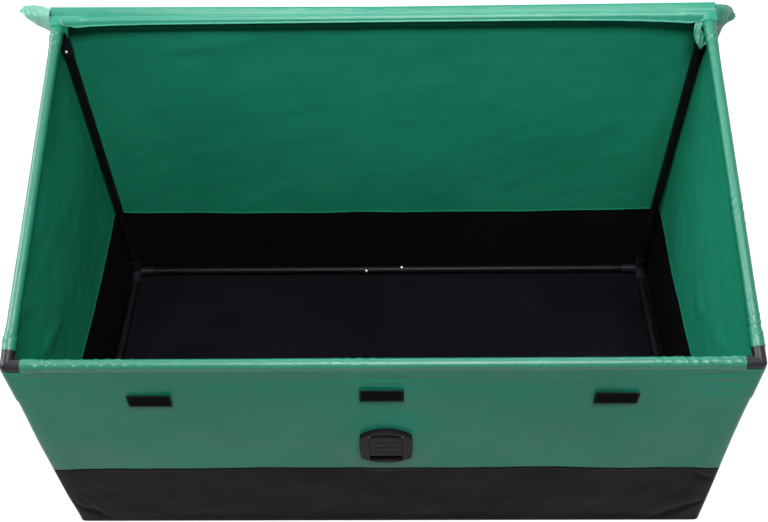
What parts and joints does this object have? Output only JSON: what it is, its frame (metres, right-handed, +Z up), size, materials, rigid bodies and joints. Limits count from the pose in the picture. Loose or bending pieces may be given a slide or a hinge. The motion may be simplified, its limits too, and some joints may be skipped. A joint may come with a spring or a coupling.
{
  "type": "garden storage box",
  "caption": "Wedge-shaped fabric storage box on a frame of steel tubes, with a skirted flap lid thrown back behind the rear wall, hook patches and a flip-out front grip.",
  "frame": {"origin": "middle of the base on the ground, centred between the four uprights", "axes": "+X to the right of someone who faces the front wall, +Y to the rear, +Z up"},
  "size_m": [1.4874, 0.8334, 0.8034],
  "materials": {
    "connector_plastic": "moulded, satin",
    "frame_steel": "powder coated, satin",
    "button_steel": "plated, polished",
    "spring_steel": "plain",
    "fastener_steel": "zinc plated",
    "black_fabric": "coated woven sheet, satin",
    "green_fabric": "coated woven sheet, satin",
    "hook_tape": "hook tape, matte",
    "loop_tape": "loop tape, matte",
    "handle_plastic": "moulded, fine grain"
  },
  "bodies": {
    "frame": {"connector_front_left_bottom": "connector_plastic", "connector_front_left_top": "connector_plastic", "connector_front_right_bottom": "connector_plastic", "connector_front_right_top": "connector_plastic", "connector_rear_left_bottom": "connector_plastic", "connector_rear_left_top": "connector_plastic", "connector_rear_right_bottom": "connector_plastic", "connector_rear_right_top": "connector_plastic", "floor_panel": "black_fabric", "front_band": "black_fabric", "front_bottom_rail_left": "frame_steel", "front_bottom_rail_right": "frame_steel", "front_sleeve": "green_fabric", "front_top_rail_left": "frame_steel", "front_top_rail_right": "frame_steel", "front_wall": "green_fabric", "handle_backing_plate": "handle_plastic", "handle_housing": "handle_plastic", "handle_pins": "fastener_steel", "handle_screws": "fastener_steel", "hook_patches": "hook_tape", "left_band": "black_fabric", "left_sleeve": "green_fabric", "left_wall": "green_fabric", "lid_hinge_strip": "green_fabric", "rail_joiners": "frame_steel", "rear_band": "black_fabric", "rear_bottom_rail_left": "frame_steel", "rear_bottom_rail_right": "frame_steel", "rear_sleeve": "green_fabric", "rear_top_rail_left": "frame_steel", "rear_top_rail_right": "frame_steel", "rear_wall": "green_fabric", "right_band": "black_fabric", "right_sleeve": "green_fabric", "right_wall": "green_fabric", "side_bottom_rail_left": "frame_steel", "side_bottom_rail_right": "frame_steel", "side_top_rail_left": "frame_steel", "side_top_rail_right": "frame_steel", "snap_springs": "spring_steel", "upright_front_left": "frame_steel", "upright_front_right": "frame_steel", "upright_rear_left": "frame_steel", "upright_rear_right": "frame_steel"},
    "lid": {"lid_panel": "green_fabric", "lid_front_skirt": "green_fabric", "lid_left_skirt": "green_fabric", "lid_right_skirt": "green_fabric", "loop_patches": "loop_tape"},
    "grip": {"handle_grip": "handle_plastic"},
    "button_front_rail_left": {"snap_button_front_rail_left": "button_steel"},
    "button_front_rail_right": {"snap_button_front_rail_right": "button_steel"},
    "button_front_upright_left": {"snap_button_front_upright_left": "button_steel"},
    "button_front_upright_right": {"snap_button_front_upright_right": "button_steel"},
    "button_rear_rail_left": {"snap_button_rear_rail_left": "button_steel"},
    "button_rear_rail_right": {"snap_button_rear_rail_right": "button_steel"},
    "button_rear_upright_left": {"snap_button_rear_upright_left": "button_steel"},
    "button_rear_upright_right": {"snap_button_rear_upright_right": "button_steel"}
  },
  "joints": [
    {"name": "lid_hinge", "type": "hinge", "parent": "frame", "child": "lid", "pos_m": [0, 0.35123, 0.80122], "axis": [1, 0, 0], "range_deg": [0, 288.1]},
    {"name": "grip_pivot", "type": "hinge", "parent": "frame", "child": "grip", "pos_m": [0.005, -0.35408, 0.352], "axis": [-1, 0, 0], "range_deg": [0, 88]},
    {"name": "press_front_rail_left", "type": "slide", "parent": "frame", "child": "button_front_rail_left", "axis": [0, -0.8746, -0.4848], "range_m": [0, 0.0036], "stiffness_N_per_m": 300, "springref_m": -0.003},
    {"name": "press_front_rail_right", "type": "slide", "parent": "frame", "child": "button_front_rail_right", "axis": [0, -0.0872, -0.9962], "range_m": [0, 0.0036], "stiffness_N_per_m": 300, "springref_m": -0.003},
    {"name": "press_front_upright_left", "type": "slide", "parent": "frame", "child": "button_front_upright_left", "axis": [0, -1, 0], "range_m": [0, 0.0036], "stiffness_N_per_m": 300, "springref_m": -0.003},
    {"name": "press_front_upright_right", "type": "slide", "parent": "frame", "child": "button_front_upright_right", "axis": [0, -1, 0], "range_m": [0, 0.0036], "stiffness_N_per_m": 300, "springref_m": -0.003},
    {"name": "press_rear_rail_left", "type": "slide", "parent": "frame", "child": "button_rear_rail_left", "axis": [0, 0.8746, -0.4848], "range_m": [0, 0.0036], "stiffness_N_per_m": 300, "springref_m": -0.003},
    {"name": "press_rear_rail_right", "type": "slide", "parent": "frame", "child": "button_rear_rail_right", "axis": [0, 0.0872, -0.9962], "range_m": [0, 0.0036], "stiffness_N_per_m": 300, "springref_m": -0.003},
    {"name": "press_rear_upright_left", "type": "slide", "parent": "frame", "child": "button_rear_upright_left", "axis": [0, 1, 0], "range_m": [0, 0.0036], "stiffness_N_per_m": 300, "springref_m": -0.003},
    {"name": "press_rear_upright_right", "type": "slide", "parent": "frame", "child": "button_rear_upright_right", "axis": [0, 1, 0], "range_m": [0, 0.0036], "stiffness_N_per_m": 300, "springref_m": -0.003}
  ]
}
